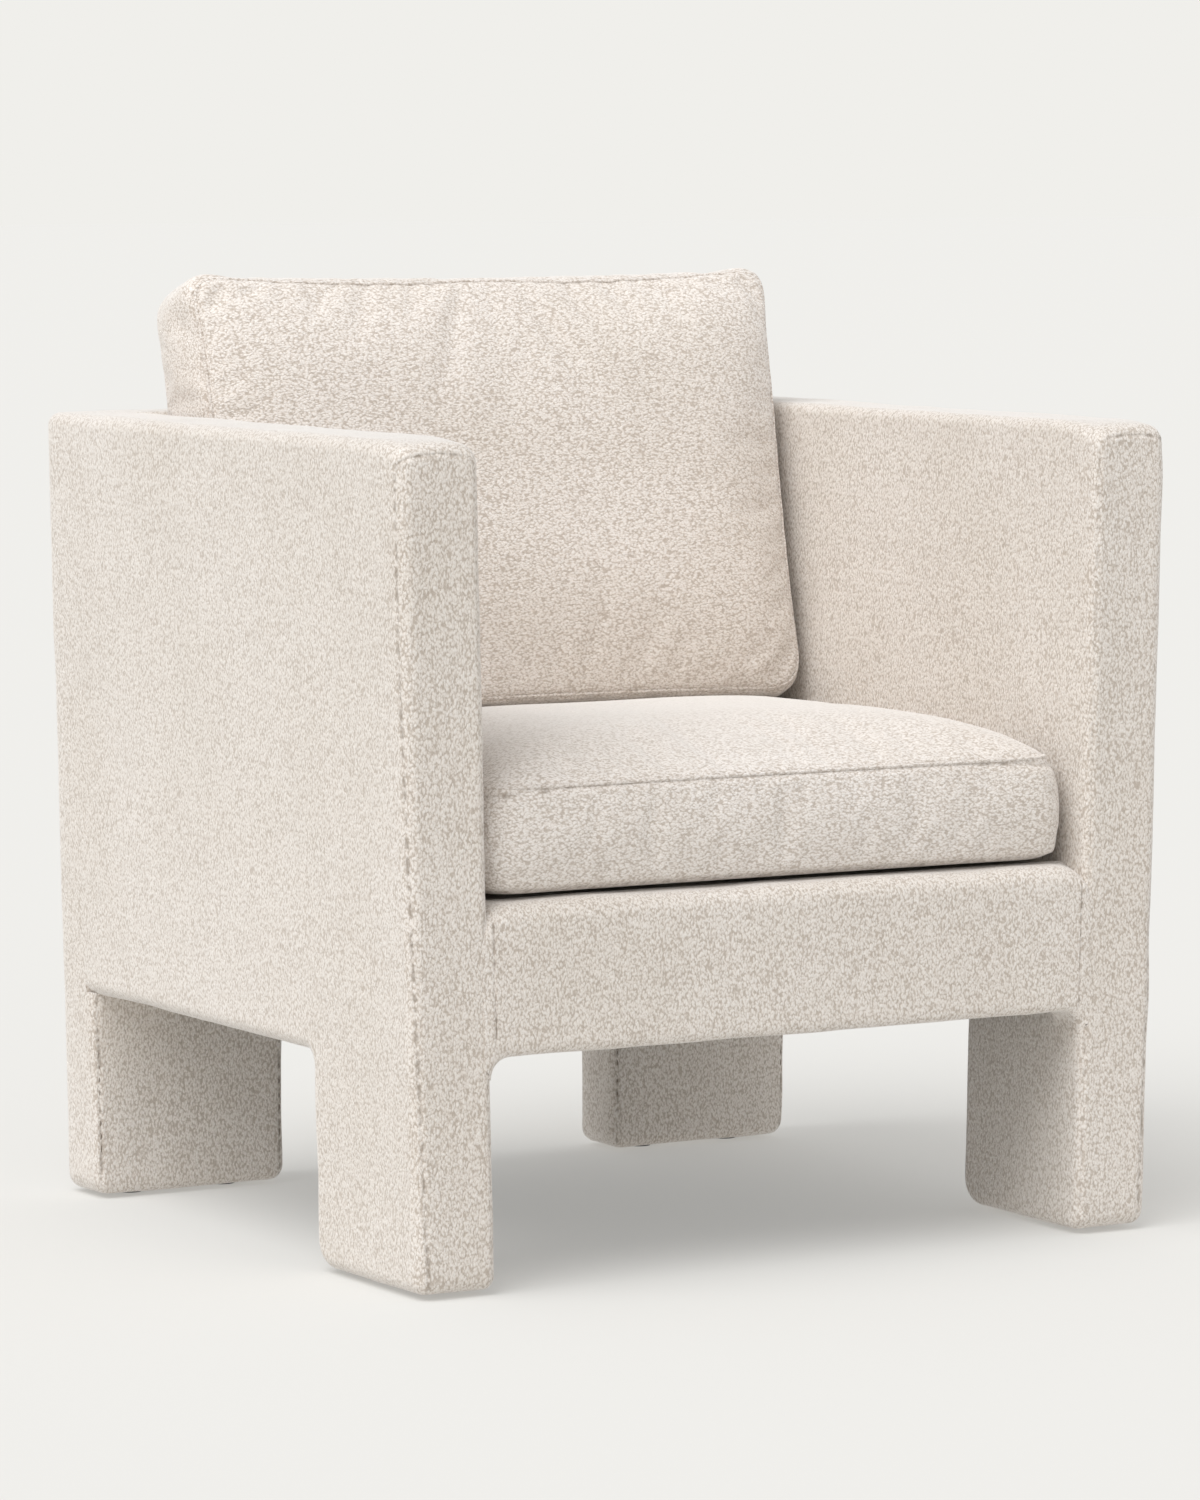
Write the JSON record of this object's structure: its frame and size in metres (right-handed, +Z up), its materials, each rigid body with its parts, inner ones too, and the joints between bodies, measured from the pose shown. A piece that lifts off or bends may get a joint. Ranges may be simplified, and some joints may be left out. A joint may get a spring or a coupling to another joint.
{
  "type": "upholstered armchair",
  "caption": "Upholstered lounge armchair: slab arms run to the floor as front legs, a slab back carries the rear legs, with loose box seat and back cushions on a sprung timber frame.",
  "frame": {"origin": "centre of the outside box on the floor", "axes": "+Z up, -Y towards the front of the seat, +X to the right as seen from the front"},
  "size_m": [0.7546, 0.664, 0.827],
  "materials": {
    "boucle": "matte",
    "deck_cloth": "matte",
    "black_cloth": "matte",
    "felt": "matte",
    "foam": "matte",
    "plywood": "matte",
    "timber": "matte",
    "steel": "satin",
    "nylon": "matte"
  },
  "bodies": {
    "frame": {"back_cover": "boucle", "back_inner_panel": "plywood", "back_lower_rail": "timber", "back_outer_panel": "plywood", "back_padding": "foam", "back_top_rail": "timber", "corner_blocks": "timber", "deck_cover": "deck_cloth", "deck_insulator": "felt", "deck_padding": "foam", "dust_cover": "black_cloth", "front_rail": "timber", "front_rail_cover": "boucle", "front_rail_padding": "foam", "glides": "nylon", "inside_back_cover": "boucle", "inside_back_padding": "foam", "left_arm_cover": "boucle", "left_arm_inner_panel": "plywood", "left_arm_lower_rail": "timber", "left_arm_outer_panel": "plywood", "left_arm_padding": "foam", "left_arm_rear_post": "timber", "left_arm_top_rail": "timber", "left_front_facing": "boucle", "left_front_post": "timber", "left_rear_leg": "timber", "left_rear_leg_cover": "boucle", "left_rear_leg_facing": "boucle", "left_seat_side_rail": "timber", "rear_rail": "timber", "right_arm_cover": "boucle", "right_arm_inner_panel": "plywood", "right_arm_lower_rail": "timber", "right_arm_outer_panel": "plywood", "right_arm_padding": "foam", "right_arm_rear_post": "timber", "right_arm_top_rail": "timber", "right_front_facing": "boucle", "right_front_post": "timber", "right_rear_leg": "timber", "right_rear_leg_cover": "boucle", "right_rear_leg_facing": "boucle", "right_seat_side_rail": "timber", "seat_springs": "steel", "spring_clips": "steel"},
    "seat_cushion": {"seat_cushion_bottom_panel": "boucle", "seat_cushion_boxing": "boucle", "seat_cushion_filling": "foam", "seat_cushion_top_panel": "boucle", "seat_cushion_zip_band": "boucle"},
    "back_cushion": {"back_cushion_boxing": "boucle", "back_cushion_filling": "foam", "back_cushion_front_panel": "boucle", "back_cushion_rear_panel": "boucle", "back_cushion_zip_band": "boucle"}
  },
  "joints": [
    {"name": "seat_cushion_slide", "type": "slide", "parent": "frame", "child": "seat_cushion", "axis": [0, -0.9997, 0.0262], "range_m": [0, 0.55]},
    {"name": "back_cushion_lift", "type": "slide", "parent": "frame", "child": "back_cushion", "axis": [0, 0.225, 0.9744], "range_m": [0, 0.4]}
  ]
}
